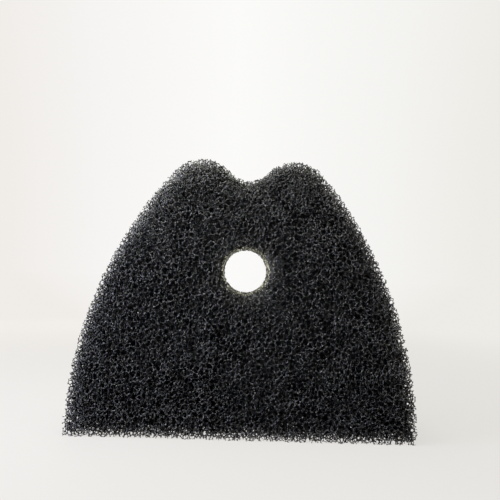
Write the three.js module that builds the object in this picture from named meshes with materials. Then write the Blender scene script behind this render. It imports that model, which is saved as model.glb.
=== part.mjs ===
// Die-cut filter sponge: one thick pad of coarse open-cell foam for a pond or aquarium filter.
// Millimetres, +Z up. The pad stands upright on its flat base. Its front face looks along -Y,
// X runs across it, and the origin is the middle of the base.
import * as THREE from 'three';

// Driving dimensions
const padWidth = 150;            // across the base, where the pad is widest
const padThickness = 40;         // front face to back face
const sideRadius = 174;          // each long side is one arc that starts vertical at the base
const lobeRadius = 16.5;         // the two rounded lobes at the top
const lobeOffset = 20;           // lobe centre, out from the middle plane
const notchRadius = 10.4;        // round valley between the lobes
const holeRadius = 10.5;         // through hole under the valley
const holeHeight = 71.6;         // hole centre above the base
const arcSegments = 14;          // each arc is drawn as twice this many straight steps

// Dimensions that follow from them
const halfWidth = padWidth / 2;
const sideCentreX = halfWidth - sideRadius;

// Each side arc runs into its lobe from inside, so their centres are the difference of radii apart.
const sideToLobe = sideRadius - lobeRadius;
const lobeHeight = Math.sqrt(sideToLobe ** 2 - (lobeOffset - sideCentreX) ** 2);

// The lobe and the valley touch from outside, so their centres are the sum of radii apart.
const lobeToNotch = lobeRadius + notchRadius;
const notchHeight = lobeHeight + Math.sqrt(lobeToNotch ** 2 - lobeOffset ** 2);

const sideEndAngle = Math.atan2(lobeHeight, lobeOffset - sideCentreX);
const lobeEndAngle = Math.atan2(notchHeight - lobeHeight, -lobeOffset);
const notchStartAngle = lobeEndAngle - Math.PI;

// Front outline, drawn anticlockwise from the right end of the base: tangent arcs all the way
// round to the left end, and the straight base closes it.
function padOutline() {
  const outline = new THREE.Shape();
  outline.absarc(sideCentreX, 0, sideRadius, 0, sideEndAngle, false);
  outline.absarc(lobeOffset, lobeHeight, lobeRadius, sideEndAngle, lobeEndAngle, false);
  outline.absarc(0, notchHeight, notchRadius, notchStartAngle, -Math.PI - notchStartAngle, true);
  outline.absarc(-lobeOffset, lobeHeight, lobeRadius, Math.PI - lobeEndAngle, Math.PI - sideEndAngle, false);
  outline.absarc(-sideCentreX, 0, sideRadius, Math.PI - sideEndAngle, Math.PI, false);
  outline.closePath();
  return outline;
}

function throughHole() {
  const hole = new THREE.Path();
  hole.absarc(0, holeHeight, holeRadius, 0, 2 * Math.PI, true);
  return hole;
}

// The die cuts straight through the sheet, so the pad is its outline extruded from face to face.
function filterPad() {
  const outline = padOutline();
  outline.holes.push(throughHole());
  const geometry = new THREE.ExtrudeGeometry(outline, {
    depth: padThickness,
    bevelEnabled: false,
    curveSegments: arcSegments,
  });
  const foam = new THREE.MeshStandardMaterial({ color: 0x1f2022, roughness: 0.75, metalness: 0 });
  const pad = new THREE.Mesh(geometry, foam);
  pad.name = 'filter_sponge';
  pad.rotation.x = Math.PI / 2;
  pad.position.y = padThickness / 2;
  return pad;
}

const spongeFilter = new THREE.Group();
spongeFilter.add(filterPad());

export default spongeFilter;
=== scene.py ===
"""Die-cut filter sponge: one pad of coarse open-cell foam, grown strut by strut inside the CAD pad."""
import itertools
import math

import bpy
import numpy as np
from mathutils import Euler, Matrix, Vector, kdtree


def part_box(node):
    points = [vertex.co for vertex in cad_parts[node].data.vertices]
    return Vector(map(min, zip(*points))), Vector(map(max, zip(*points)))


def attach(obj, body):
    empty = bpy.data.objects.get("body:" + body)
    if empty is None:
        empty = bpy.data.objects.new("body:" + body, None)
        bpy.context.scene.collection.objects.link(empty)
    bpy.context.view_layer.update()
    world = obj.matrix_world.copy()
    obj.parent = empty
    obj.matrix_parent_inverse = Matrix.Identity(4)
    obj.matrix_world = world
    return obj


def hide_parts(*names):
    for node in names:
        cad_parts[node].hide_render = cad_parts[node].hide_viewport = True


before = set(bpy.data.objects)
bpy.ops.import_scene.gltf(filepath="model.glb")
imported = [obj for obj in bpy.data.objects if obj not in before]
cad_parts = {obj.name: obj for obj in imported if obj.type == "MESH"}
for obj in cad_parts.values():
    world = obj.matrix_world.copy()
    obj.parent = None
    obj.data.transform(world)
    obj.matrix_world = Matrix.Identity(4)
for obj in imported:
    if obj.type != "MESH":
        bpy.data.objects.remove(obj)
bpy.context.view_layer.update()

PAD = "filter_sponge"
MM = 0.001
SEED = 11

# The foam, in millimetres
CELL_SPACING = 2.2               # mean distance between the centres of neighbouring cells
CORE_SPACING = 3.4               # the same in the core, which shows in no view
SKIN_DEPTH = 4.0                 # from the pad's surface in to where cells begin to widen
CORE_DEPTH = 9.0                 # from the pad's surface in to where they are all core cells
MARGIN = 2.2 * CELL_SPACING      # how far past the pad's surface the cells go on
STRUT_RADIUS = 0.135             # middle of a strut to its corners, halfway along it
NODE_RADIUS = 0.29               # joint of four struts to the corners where they meet
WAIST_DEPTH = 2.0                # struts nearer the pad's surface than this are drawn in at the waist

# The foam, as shares
CELL_SPREAD = 0.3                # how far a cell's own size lies above or below the mean
THINNEST, THICKEST = 0.8, 1.2    # one strut's or node's radius, as a share of the usual one
RISE_STRETCH = 1.1               # cells are longer the way the foam rose, here up the pad

# Spreading the cell centres: those nearer each other than this many spacings push apart
PUSH_REACH = 1.35
PUSH_STEP = 0.125
PUSH_ROUNDS = 6
PUSH_NEIGHBOURS = 14

# Finding where cells meet
NEIGHBOURS = 30                  # how many cells round each are searched for the ones that it meets
SPHERE_REACH = 1.15              # largest radius of the empty spheres between centres, in spacings
ROUNDING = 1e-7                  # how far a centre may lie inside a sphere and still count as on it
CELLS_AT_ONCE = 400
POINTS_AT_ONCE = 20_000

# Evening out the struts, as springs
SPRING_PULL = 0.16
SPRING_ROUNDS = 14
SPRING_SHORTEST = 0.05           # a strut shorter than this, in millimetres, pushes as if it were this long

# Cutting struts at the pad's surface
CUT_HALVINGS = 9
CUT_STUB = 0.04                  # share of a cut strut that is always left

# The mesh is split in compact blocks: along Y in 2, then each along X in 5, then each along Z in 3
BLOCK_SPLITS = ((1, 2), (0, 5), (2, 3))

# The foam's look: one noise makes the paler patches, and a finer one makes the duller specks
STRAND_BLACK = (0.005, 0.005, 0.005, 1)
STRAND_GREY = (0.048, 0.048, 0.048, 1)
PATCH_SCALE = 150.0
PATCH_RANGE = (0.38, 0.66)       # the noise at and below which a strand is black, and at and above grey
STRAND_GLOSS = (0.35, 0.5)       # roughness of the glossiest and the dullest places
SPECK_SCALE = 500.0
SPECK_RANGE = (0.35, 0.65)       # the noise for the glossiest and the dullest places
STRAND_IOR = 1.5

# The floor near the pad, and the room from left to right across the view: a share of the way from
# straight left to straight right, and the white there, which darkens to both sides as painted shade
# for the lamps' light falling off
FLOOR_WHITE = (0.68, 0.665, 0.64, 1)       # the floor's own glow
FLOOR_SHADE = (0.046, 0.046, 0.046, 1)     # how much of the lamps' light it gives back
FLOOR_FADE = (0.05, 0.55)                  # metres out, between which it turns to the room's white
FLOOR_RADIUS = 6.0                         # in metres
ROOM_WHITES_AND_PAINTED_FALLOFF = (
    (0.28, (0.87, 0.84, 0.81, 1)),
    (0.36, (0.92, 0.905, 0.89, 1)),
    (0.49, (0.967, 0.962, 0.945, 1)),
    (0.64, (0.90, 0.895, 0.875, 1)),
    (0.72, (0.85, 0.835, 0.79, 1)),
)

# The light that the room gives: none at and below the first share of the way behind the pad, and all
# of it at and above the second
ROOM_LIGHT = (1.0, 0.96, 0.89, 1)
ROOM_STRENGTH = 0.9
ROOM_BEHIND = (-0.3, 0.8)

# Each lamp's name, place and side in metres, power in watts, and colour
LAMPS = (
    ("window", (-0.38, -0.11, 0.2), 0.25, 6.8, (0.76, 0.8, 1.0)),
    ("ceiling", (-0.04, -0.03, 0.24), 0.16, 1.35, (1.0, 0.99, 0.86)),
    ("right_wall", (0.45, -0.08, 0.2), 0.3, 1.2, (1.0, 0.9, 0.7)),
    ("back_window", (-0.25, 0.45, 0.09), 0.25, 4.5, (1.0, 0.96, 0.74)),
)
HOLE_HEIGHT = 0.0716                       # middle of the hole, in metres
HOLE_GLOW_DEPTH = 0.014                    # from the pad's back face in to the lamp in the hole
HOLE_GLOW_SIDE = 0.019
HOLE_GLOW_POWER = 0.011
HOLE_GLOW_COLOUR = (1.0, 0.97, 0.74)

# The camera, in metres and degrees
LENS = 35.3
CAMERA_ASIDE = -0.0015
CAMERA_AWAY = 0.210                        # from the pad's front face
CAMERA_HEIGHT = 0.0708
CAMERA_PITCH, CAMERA_YAW, CAMERA_ROLL = 2.7, -0.8, 1.9


# ---- the pad's outline, from its CAD solid -------------------------------------------------------


def pad_outline():
    """The straight steps of the pad's outline and its hole, as (x, z) pairs in millimetres: the edges
    that only one face of the front side uses."""
    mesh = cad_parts[PAD].data
    low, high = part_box(PAD)
    front = low.y + 0.01 * (high.y - low.y)
    used = {}
    for face in mesh.polygons:
        corners = [mesh.vertices[i].co for i in face.vertices]
        if all(c.y < front for c in corners):
            keys = [(round(c.x / MM, 3), round(c.z / MM, 3)) for c in corners]
            for a, b in zip(keys, keys[1:] + keys[:1]):
                edge = (min(a, b), max(a, b))
                used[edge] = used.get(edge, 0) + 1
    return np.array([edge for edge, count in used.items() if count == 1])


OUTLINE = pad_outline()
LOW = np.array(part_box(PAD)[0]) / MM
HIGH = np.array(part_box(PAD)[1]) / MM


def batches(count):
    """The numbers from 0 to count - 1, in parts small enough for the memory."""
    return np.array_split(np.arange(count), count // POINTS_AT_ONCE + 1)


def in_outline(points):
    """True for each point whose x and z lie in the outline: a ray from it crosses an odd number of steps."""
    result = np.zeros(len(points), bool)
    (x1, z1), (x2, z2) = OUTLINE[:, 0].T, OUTLINE[:, 1].T
    for part in batches(len(points)):
        x, z = points[part, 0, None], points[part, 2, None]
        spans = (z1 > z) != (z2 > z)
        with np.errstate(divide="ignore", invalid="ignore"):
            crossing = x1 + (z - z1) * (x2 - x1) / (z2 - z1)
        result[part] = (spans & (x < crossing)).sum(1) % 2 == 1
    return result


def inside(points):
    """True for each point that lies in the pad."""
    flat = points.reshape(-1, 3)
    result = (flat[:, 1] > LOW[1]) & (flat[:, 1] < HIGH[1])
    result[result] = in_outline(flat[result])
    return result.reshape(points.shape[:-1])


def depth(points):
    """How far each point is inside the pad's surface. It is negative outside."""
    start, step = OUTLINE[:, 0], OUTLINE[:, 1] - OUTLINE[:, 0]
    result = np.empty(len(points))
    for part in batches(len(points)):
        out = points[part][:, None, [0, 2]] - start
        share = ((out * step).sum(2) / (step**2).sum(1)).clip(0, 1)
        result[part] = np.linalg.norm(out - share[..., None] * step, axis=2).min(1)
    result[~in_outline(points)] *= -1
    return np.minimum(result, np.minimum(points[:, 1] - LOW[1], HIGH[1] - points[:, 1]))


# ---- cells: evenly spread centres, and the corners and edges of the cells round them -------------


def nearest(points, count):
    """Each point's nearest neighbours, nearest first."""
    tree = kdtree.KDTree(len(points))
    for i, point in enumerate(points):
        tree.insert(point, i)
    tree.balance()
    return np.array([[hit[1] for hit in tree.find_n(point, count + 1)[1:]] for point in points])


def risen(points):
    """Stretches an even foam the way it rose."""
    middle = (LOW + HIGH) / 2
    return middle + (points - middle) * (1, 1, RISE_STRETCH)


def spacing_at(points):
    """Wanted distance between cell centres: fine where cells show, wider in the core."""
    share = (depth(risen(points)) - SKIN_DEPTH) / (CORE_DEPTH - SKIN_DEPTH)
    return CELL_SPACING + (CORE_SPACING - CELL_SPACING) * share.clip(0, 1)


def scatter_centres(rng):
    """Cell centres through the pad and a little past it, pushed apart until they are evenly spread."""
    low, high = LOW - MARGIN, HIGH + MARGIN
    total = int((high - low).prod() / CELL_SPACING**3)
    centres = low + rng.random((total, 3)) * (high - low)
    spacing = spacing_at(centres)
    keep = (rng.random(total) < (CELL_SPACING / spacing) ** 3) & (depth(risen(centres)) > -MARGIN)
    centres, spacing = centres[keep], spacing[keep]
    size = PUSH_REACH * spacing * (1 + CELL_SPREAD * rng.uniform(-1, 1, len(centres)))
    for _ in range(PUSH_ROUNDS):
        near = nearest(centres, PUSH_NEIGHBOURS)
        away = centres[:, None] - centres[near]
        gap = np.linalg.norm(away, axis=2, keepdims=True)
        wanted = (size[:, None] + size[near])[:, :, None] / 2
        centres += PUSH_STEP * (away * np.clip(wanted - gap, 0, None) / gap).sum(1)
    return centres


def cell_corners(centres, spacing):
    """Every point where four cells meet, with those four cells: the centre of each sphere that passes
    through four cell centres and holds none."""
    near = nearest(centres, NEIGHBOURS)
    reach = SPHERE_REACH * spacing
    choices = np.array(list(itertools.combinations(range(NEIGHBOURS), 3)))
    one, two, three = choices.T
    cells, corners = [], []
    for first in range(0, len(centres), CELLS_AT_ONCE):
        i = np.arange(first, min(first + CELLS_AT_ONCE, len(centres)))
        offset = centres[near[i]] - centres[i][:, None]
        squared = (offset**2).sum(2)

        # four centres on one sphere are no further apart than it is wide, and each four is searched
        # once, from its first cell
        widest = 4 * reach[i][:, None] ** 2
        partner = (near[i] > i[:, None]) & (squared < widest)
        apart = ((offset[:, :, None] - offset[:, None]) ** 2).sum(3)
        match = (apart < widest[:, None]) & partner[:, None]
        row, pick = np.nonzero(match[:, one, two] & match[:, two, three] & match[:, three, one])

        # the sphere's centre, from the first cell
        a, b, c = np.moveaxis(offset[row[:, None], choices[pick]], 1, 0)
        aa, bb, cc = (squared[row, place[pick], None] for place in (one, two, three))
        bc = np.cross(b, c)
        with np.errstate(divide="ignore", invalid="ignore"):
            middle = aa * bc + bb * np.cross(c, a) + cc * np.cross(a, b)
            middle /= 2 * (a * bc).sum(1)[:, None]
        keep = (middle**2).sum(1) < reach[i[row]] ** 2
        row, pick, middle = row[keep], pick[keep], middle[keep]
        outside = squared[row] - 2 * np.einsum("mkc,mc->mk", offset[row], middle)
        keep = (outside > -ROUNDING).all(1)
        row, pick, middle = row[keep], pick[keep], middle[keep]
        cells.append(np.concatenate([i[row][:, None], near[i[row][:, None], choices[pick]]], axis=1))
        corners.append(centres[i[row]] + middle)
    return np.sort(np.concatenate(cells), axis=1), np.concatenate(corners)


def find_struts(cells):
    """Struts join the two nodes that share three cells. Each strut's rows: its two nodes, and the
    place, 0 to 3, of the cell of each node that the strut doesn't touch."""
    node = np.tile(np.arange(len(cells)), 4)
    missing = np.repeat(np.arange(4), len(cells))
    triple = np.concatenate([np.delete(cells, k, 1) for k in range(4)])
    order = np.lexsort(triple.T)
    same = (triple[order[1:]] == triple[order[:-1]]).all(1)
    first, second = order[:-1][same], order[1:][same]
    return np.stack([node[first], node[second]], 1), np.stack([missing[first], missing[second]], 1)


def even_out(nodes, ends, spacing):
    """Springs along the struts: very short ones grow and long ones shrink, as in a real foam."""
    nodes = nodes.copy()
    wanted = spacing[ends].mean(1, keepdims=True)
    wanted /= wanted.mean()
    for _ in range(SPRING_ROUNDS):
        along = nodes[ends[:, 1]] - nodes[ends[:, 0]]
        now = np.linalg.norm(along, axis=1, keepdims=True)
        length = wanted * now.mean()
        pull = SPRING_PULL * along * (1 - length / np.maximum(now, SPRING_SHORTEST))
        for axis in range(3):
            nodes[:, axis] += np.bincount(ends[:, 0], pull[:, axis], len(nodes))
            nodes[:, axis] -= np.bincount(ends[:, 1], pull[:, axis], len(nodes))
    return nodes


# ---- the foam's surface --------------------------------------------------------------------------

# A node's four cells are numbered 0 to 3. Each pair of them shares a window, and the node has one
# corner point for each of the six windows. The strut that misses cell k ends on the three corner
# points of the pairs without k, and the node's side to cell k has the other three.
PAIRS = list(itertools.combinations(range(4), 2))
STRUT_CORNERS = np.array([[p for p, pair in enumerate(PAIRS) if k not in pair] for k in range(4)])
CELL_CORNERS = np.array([[p for p, pair in enumerate(PAIRS) if k in pair] for k in range(4)])


def unit(v):
    return v / np.maximum(np.linalg.norm(v, axis=-1, keepdims=True), 1e-9)


def own_share(rng, count):
    """How thick each of so many struts or nodes is, as a share of the usual thickness."""
    return THINNEST + (THICKEST - THINNEST) * rng.random(count)


def strut_directions(nodes, ends, missing):
    """The way that each node's four struts leave it, and which nodes are whole. Where the search
    missed one strut, the other three say where it would be. A node that lacks more isn't whole."""
    leaving = np.zeros((len(nodes), 4, 3))
    along = unit(nodes[ends[:, 1]] - nodes[ends[:, 0]])
    leaving[ends[:, 0], missing[:, 0]] = along
    leaving[ends[:, 1], missing[:, 1]] = -along
    absent = ~leaving.any(2)
    whole = absent.sum(1) <= 1
    node, lost = np.nonzero(absent & whole[:, None])
    leaving[node, lost] = -unit(leaving[node].sum(1))
    return leaving, whole


def corner_points(nodes, leaving, rng):
    """Each node's six corner points. Each lies between the two struts that touch its window."""
    others = [[k for k in range(4) if k not in pair] for pair in PAIRS]
    window = np.stack([unit(leaving[:, i] + leaving[:, j]) for i, j in others], 1)
    size = NODE_RADIUS * own_share(rng, len(nodes))
    return nodes[:, None] + window * size[:, None, None]


class Foam:
    """The struts and nodes that lie in the pad, cut where its surface cuts them."""

    def __init__(self, rng):
        centres = scatter_centres(rng)
        spacing = spacing_at(centres)
        cells, nodes = cell_corners(centres, spacing)
        ends, missing = find_struts(cells)
        self.nodes = risen(even_out(nodes, ends, spacing[cells].mean(1)))
        leaving, whole = strut_directions(self.nodes, ends, missing)
        self.corners = corner_points(self.nodes, leaving, rng)
        self.kept = inside(self.nodes) & whole
        self.keep_struts(ends, missing, whole)
        self.make_rings(STRUT_RADIUS * own_share(rng, len(self.ends)))

    def keep_struts(self, ends, missing, whole):
        """Every strut starts at a kept node, and is cut if its other node isn't kept."""
        keep = self.kept[ends].any(1) & whole[ends].all(1)
        self.ends, self.missing = ends[keep], missing[keep]
        swap = ~self.kept[self.ends[:, 0]]
        self.ends[swap] = self.ends[swap, ::-1]
        self.missing[swap] = self.missing[swap, ::-1]
        self.cut = ~self.kept[self.ends[:, 1]]
        deep = np.zeros(len(self.nodes), bool)
        deep[self.kept] = depth(self.nodes[self.kept]) > WAIST_DEPTH
        self.plain = deep[self.ends].all(1)

    def make_rings(self, radius):
        """Three rings of three points for each strut: on its first node, between, and at its far end."""
        start = self.corners[self.ends[:, 0, None], STRUT_CORNERS[self.missing[:, 0]]]
        finish = self.corners[self.ends[:, 1, None], STRUT_CORNERS[self.missing[:, 1]]]
        axis = unit(finish.mean(1) - start.mean(1))[:, None]

        def spoke(ring):
            out = ring - ring.mean(1, keepdims=True)
            return unit(out - (out * axis).sum(2, keepdims=True) * axis)

        self.start, self.finish = start, finish
        self.spokes = unit(spoke(start) + spoke(finish)) * radius[:, None, None]
        reach = np.ones((len(self.ends), 3))
        reach[self.cut] = self.cut_reach()
        halfway = np.repeat(reach.min(1, keepdims=True) / 2, 3, axis=1)
        between = self.along_strut(halfway)
        finish = np.where(self.cut[:, None, None], self.along_strut(reach), finish)
        facing = (np.cross(start[:, 1] - start[:, 0], start[:, 2] - start[:, 0]) * axis[:, 0]).sum(1)
        self.turned = facing < 0
        self.points = np.concatenate([part.reshape(-1, 3) for part in (self.corners, between, finish)])

    def along_strut(self, share, rows=slice(None)):
        """The points at these shares, 0 to 1, of the way along the struts' three corner lines, which
        draw in towards the middle of the strut."""
        t = share[..., None]
        start, finish = self.start[rows], self.finish[rows]
        line = start + (finish - start) * t
        halfway = (start + finish) / 2
        waist = halfway.mean(1, keepdims=True) + self.spokes[rows]
        return line + (waist - halfway) * (4 * t * (1 - t))

    def cut_reach(self):
        """How far along each corner line of each cut strut the pad's surface lies, by halving."""
        rows = np.nonzero(self.cut)[0]
        low, high = np.zeros((len(rows), 3)), np.ones((len(rows), 3))
        for _ in range(CUT_HALVINGS):
            half = (low + high) / 2
            within = inside(self.along_strut(half, rows))
            low = np.where(within, half, low)
            high = np.where(within, high, half)
        return np.maximum(low, CUT_STUB)

    def blocks(self):
        """Splits the foam into compact blocks, and gives each one's faces."""
        groups = [np.nonzero(self.kept)[0]]
        for axis, parts in BLOCK_SPLITS:
            ordered = [group[np.argsort(self.nodes[group, axis], kind="stable")] for group in groups]
            groups = [part for group in ordered for part in np.array_split(group, parts)]
        home = np.full(len(self.nodes), -1)
        for number, group in enumerate(groups):
            home[group] = number
        return [self.block_faces(home, number) for number in range(len(groups))]

    def block_faces(self, home, number):
        """One block's quads and triangles: its nodes, and the struts that start there."""
        mine = home[self.ends] == number
        quads, tips = self.strut_faces(mine)
        return quads, np.concatenate([tips, self.node_faces(np.nonzero(home == number)[0], mine)])

    def strut_faces(self, mine):
        """The sides of the block's struts, and a tip for each that ends at the surface or in another
        block."""
        struts = np.nonzero(mine[:, 0])[0]
        ends, missing = self.ends[struts], self.missing[struts]
        rings_from = len(self.nodes) * len(PAIRS)
        start = ends[:, 0, None] * len(PAIRS) + STRUT_CORNERS[missing[:, 0]]
        between = rings_from + struts[:, None] * 3 + np.arange(3)
        far = rings_from + (len(self.ends) + struts)[:, None] * 3 + np.arange(3)
        joined = mine[struts, 1] & ~self.cut[struts]
        on_node = ends[:, 1, None] * len(PAIRS) + STRUT_CORNERS[missing[:, 1]]
        finish = np.where(joined[:, None], on_node, far)
        flip = self.turned[struts]
        for ring in (start, between, finish):
            ring[flip] = ring[flip][:, ::-1]
        plain = self.plain[struts]
        stretches = (
            (start[plain], finish[plain]),
            (start[~plain], between[~plain]),
            (between[~plain], finish[~plain]),
        )
        quads = [
            np.stack([a[:, i], a[:, j], b[:, j], b[:, i]], 1)
            for a, b in stretches
            for i, j in ((0, 1), (1, 2), (2, 0))
        ]
        return np.concatenate(quads), finish[~joined]

    def node_faces(self, nodes, mine):
        """A node's faces: one to each of its four cells, and a cap where no strut of the block is."""
        taken = np.zeros((len(self.nodes), 4), bool)
        first = mine[:, 0]
        both = mine.all(1) & ~self.cut
        taken[self.ends[first, 0], self.missing[first, 0]] = True
        taken[self.ends[both, 1], self.missing[both, 1]] = True
        cell_faces = (nodes[:, None, None] * len(PAIRS) + CELL_CORNERS).reshape(-1, 3)
        row, bare = np.nonzero(~taken[nodes])
        caps = nodes[row][:, None] * len(PAIRS) + STRUT_CORNERS[bare]
        faces = np.concatenate([cell_faces, caps])
        centre = self.nodes[faces[:, 0] // len(PAIRS)]
        p, q, r = (self.points[faces[:, i]] for i in range(3))
        inward = (np.cross(q - p, r - p) * ((p + q + r) / 3 - centre)).sum(1) < 0
        faces[inward] = faces[inward][:, ::-1]
        return faces


def make_mesh(name, points, quads, triangles):
    """A smooth mesh object of the points that the faces use. Points are in millimetres."""
    used, order = np.unique(np.concatenate([quads.ravel(), triangles.ravel()]), return_inverse=True)
    mesh = bpy.data.meshes.new(name)
    mesh.vertices.add(len(used))
    mesh.vertices.foreach_set("co", (points[used] * MM).ravel())
    mesh.loops.add(len(order))
    mesh.loops.foreach_set("vertex_index", order.astype(np.int32).ravel())
    sides = np.repeat([4, 3], [len(quads), len(triangles)])
    mesh.polygons.add(len(sides))
    mesh.polygons.foreach_set("loop_start", np.concatenate([[0], np.cumsum(sides)[:-1]]))
    mesh.polygons.foreach_set("use_smooth", np.ones(len(sides), bool))
    mesh.update(calc_edges=True)
    piece = bpy.data.objects.new(name, mesh)
    bpy.context.scene.collection.objects.link(piece)
    return piece


# ---- materials -----------------------------------------------------------------------------------


def add_node(tree, kind, **inputs):
    node = tree.nodes.new(kind)
    for name, value in inputs.items():
        node.inputs[name].default_value = value
    return node


def add_range(tree, low, high, new_low=0.0, new_high=1.0):
    """A node that turns the numbers from low to high into those from new_low to new_high."""
    node = tree.nodes.new("ShaderNodeMapRange")
    for name, value in zip(("From Min", "From Max", "To Min", "To Max"), (low, high, new_low, new_high)):
        node.inputs[name].default_value = value
    return node


def add_vector_maths(tree, operation):
    node = tree.nodes.new("ShaderNodeVectorMath")
    node.operation = operation
    return node


def foam_material():
    """Black foam: satin strands, paler and duller from place to place."""
    material = bpy.data.materials.new("foam")
    material.use_nodes = True
    tree = material.node_tree
    shader = tree.nodes["Principled BSDF"]
    shader.inputs["IOR"].default_value = STRAND_IOR
    place = tree.nodes.new("ShaderNodeTexCoord")
    patches = add_node(tree, "ShaderNodeTexNoise", Scale=PATCH_SCALE, Detail=2.0, Roughness=0.5)
    shade = tree.nodes.new("ShaderNodeValToRGB")
    black, grey = shade.color_ramp.elements
    black.position, grey.position = PATCH_RANGE
    black.color, grey.color = STRAND_BLACK, STRAND_GREY
    specks = add_node(tree, "ShaderNodeTexNoise", Scale=SPECK_SCALE, Detail=2.0, Roughness=0.5)
    gloss = add_range(tree, *SPECK_RANGE, *STRAND_GLOSS)
    tree.links.new(place.outputs["Object"], patches.inputs["Vector"])
    tree.links.new(patches.outputs["Fac"], shade.inputs["Fac"])
    tree.links.new(shade.outputs["Color"], shader.inputs["Base Color"])
    tree.links.new(place.outputs["Object"], specks.inputs["Vector"])
    tree.links.new(specks.outputs["Fac"], gloss.inputs["Value"])
    tree.links.new(gloss.outputs["Result"], shader.inputs["Roughness"])
    return material


def room_white_and_painted_falloff(tree, direction):
    """White that is palest straight behind and straight before the pad, and darkens to both sides: painted
    shade, for the lamps' light falling off to the sides.
    """
    split = tree.nodes.new("ShaderNodeSeparateXYZ")
    across = add_range(tree, -1.0, 1.0)
    paint = tree.nodes.new("ShaderNodeValToRGB")
    stops = paint.color_ramp.elements
    for position, colour in ROOM_WHITES_AND_PAINTED_FALLOFF[1:-1]:
        stops.new(position).color = colour
    stops[0].position, stops[0].color = ROOM_WHITES_AND_PAINTED_FALLOFF[0]
    stops[-1].position, stops[-1].color = ROOM_WHITES_AND_PAINTED_FALLOFF[-1]
    tree.links.new(direction, split.inputs[0])
    tree.links.new(split.outputs["X"], across.inputs["Value"])
    tree.links.new(across.outputs["Result"], paint.inputs["Fac"])
    return paint.outputs["Color"]


def floor_material():
    """Pale and matt near the pad, where it takes a soft shadow, and as pale as the room further out, with
    the room's painted shade darkening it to both sides.
    """
    material = bpy.data.materials.new("floor")
    material.use_nodes = True
    tree = material.node_tree
    shader = tree.nodes["Principled BSDF"]
    shader.inputs["Base Color"].default_value = FLOOR_SHADE
    shader.inputs["Roughness"].default_value = 0.9
    shader.inputs["Specular IOR Level"].default_value = 0.0
    shader.inputs["Emission Color"].default_value = FLOOR_WHITE
    shader.inputs["Emission Strength"].default_value = 1.0
    glow = tree.nodes.new("ShaderNodeEmission")
    place = tree.nodes.new("ShaderNodeTexCoord")
    outward = add_vector_maths(tree, "NORMALIZE")
    away = add_vector_maths(tree, "LENGTH")
    fade = add_range(tree, *FLOOR_FADE)
    fade.interpolation_type = "SMOOTHSTEP"
    mix = tree.nodes.new("ShaderNodeMixShader")
    tree.links.new(place.outputs["Object"], outward.inputs[0])
    # the far floor glows with the room's white, with its painted shade to both sides
    tree.links.new(room_white_and_painted_falloff(tree, outward.outputs["Vector"]), glow.inputs["Color"])
    tree.links.new(place.outputs["Object"], away.inputs[0])
    tree.links.new(away.outputs["Value"], fade.inputs["Value"])
    tree.links.new(fade.outputs["Result"], mix.inputs["Fac"])
    tree.links.new(shader.outputs[0], mix.inputs[1])
    tree.links.new(glow.outputs[0], mix.inputs[2])
    tree.links.new(mix.outputs[0], tree.nodes["Material Output"].inputs["Surface"])
    return material


# ---- the room: floor, light, camera --------------------------------------------------------------


def add_floor():
    bpy.ops.mesh.primitive_circle_add(vertices=96, radius=FLOOR_RADIUS, fill_type="NGON")
    floor = bpy.context.object
    floor.name = "floor"
    floor.data.materials.append(floor_material())
    floor.visible_diffuse = False
    floor.visible_glossy = False


def add_world():
    """A pale room for the camera, its white darkening to both sides as painted shade. The light it gives
    is strong from behind the pad, as from a bright wall, and fades to none from in front."""
    world = bpy.data.worlds.new("studio")
    world.use_nodes = True
    tree = world.node_tree
    place = tree.nodes.new("ShaderNodeTexCoord")
    split = tree.nodes.new("ShaderNodeSeparateXYZ")
    seen = tree.nodes["Background"]
    behind = add_range(tree, *ROOM_BEHIND, 0.0, ROOM_STRENGTH)
    felt = add_node(tree, "ShaderNodeBackground", Color=ROOM_LIGHT)
    path = tree.nodes.new("ShaderNodeLightPath")
    choose = tree.nodes.new("ShaderNodeMixShader")
    tree.links.new(place.outputs["Generated"], split.inputs[0])
    # the camera sees the room's white, with its painted shade to both sides
    tree.links.new(room_white_and_painted_falloff(tree, place.outputs["Generated"]), seen.inputs["Color"])
    tree.links.new(split.outputs["Y"], behind.inputs["Value"])
    tree.links.new(behind.outputs["Result"], felt.inputs["Strength"])
    tree.links.new(path.outputs["Is Camera Ray"], choose.inputs["Fac"])
    tree.links.new(felt.outputs[0], choose.inputs[1])
    tree.links.new(seen.outputs[0], choose.inputs[2])
    tree.links.new(choose.outputs[0], tree.nodes["World Output"].inputs["Surface"])
    bpy.context.scene.world = world


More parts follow.
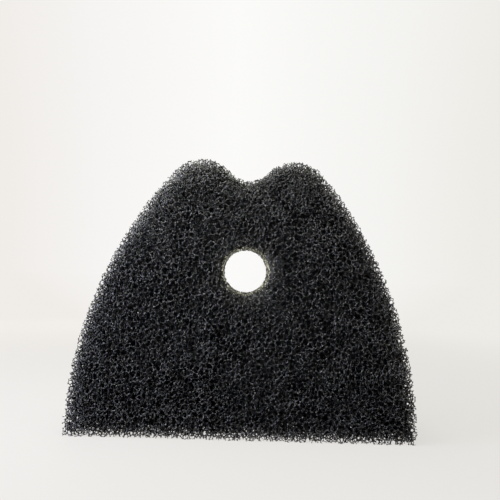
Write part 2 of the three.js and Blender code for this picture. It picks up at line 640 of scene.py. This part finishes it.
def add_light(name, place, size, power, colour, aim):
    """A soft lamp that looks at the place given and that the camera doesn't see."""
    light = bpy.data.lights.new(name, "AREA")
    light.size = size
    light.energy = power
    light.color = colour
    lamp = bpy.data.objects.new(name, light)
    bpy.context.scene.collection.objects.link(lamp)
    lamp.location = place
    lamp.visible_camera = False
    lamp.rotation_euler = (Vector(aim) - lamp.location).to_track_quat("-Z", "Y").to_euler()
    return light


def add_lights():
    """A cool window on the left, a warm ceiling, and a little from the right and from behind. The last
    lamp fills the hole, and stands for the light that the bright wall behind throws through it."""
    for name, place, size, power, colour in LAMPS:
        add_light(name, place, size, power, colour, aim=(LOW + HIGH) / 2 * MM)
    in_hole = (0, HIGH[1] * MM - HOLE_GLOW_DEPTH, HOLE_HEIGHT)
    front_end = (0, LOW[1] * MM, HOLE_HEIGHT)
    glow = add_light("hole_glow", in_hole, HOLE_GLOW_SIDE, HOLE_GLOW_POWER, HOLE_GLOW_COLOUR, front_end)
    glow.shape = "DISK"


def add_camera():
    camera = bpy.data.objects.new("camera", bpy.data.cameras.new("camera"))
    bpy.context.scene.collection.objects.link(camera)
    bpy.context.scene.camera = camera
    camera.data.sensor_width = 36
    camera.data.lens = LENS
    camera.data.clip_start = 0.01
    camera.location = (CAMERA_ASIDE, LOW[1] * MM - CAMERA_AWAY, CAMERA_HEIGHT)
    camera.rotation_euler = Euler((math.radians(90 + CAMERA_PITCH), 0, math.radians(CAMERA_YAW)))
    camera.rotation_euler.rotate_axis("Z", math.radians(CAMERA_ROLL))


def add_foam():
    """The foam's blocks, each an object of its own. Together they are the one pad."""
    foam = Foam(np.random.default_rng(SEED))
    material = foam_material()
    for number, (quads, triangles) in enumerate(foam.blocks()):
        piece = make_mesh(f"foam_block_{number + 1:02d}", foam.points, quads, triangles)
        piece.data.materials.append(material)
        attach(piece, "root")
        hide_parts(PAD)


def main():
    add_foam()
    add_floor()
    add_world()
    add_lights()
    add_camera()
    bpy.context.scene.view_settings.view_transform = "Standard"


main()
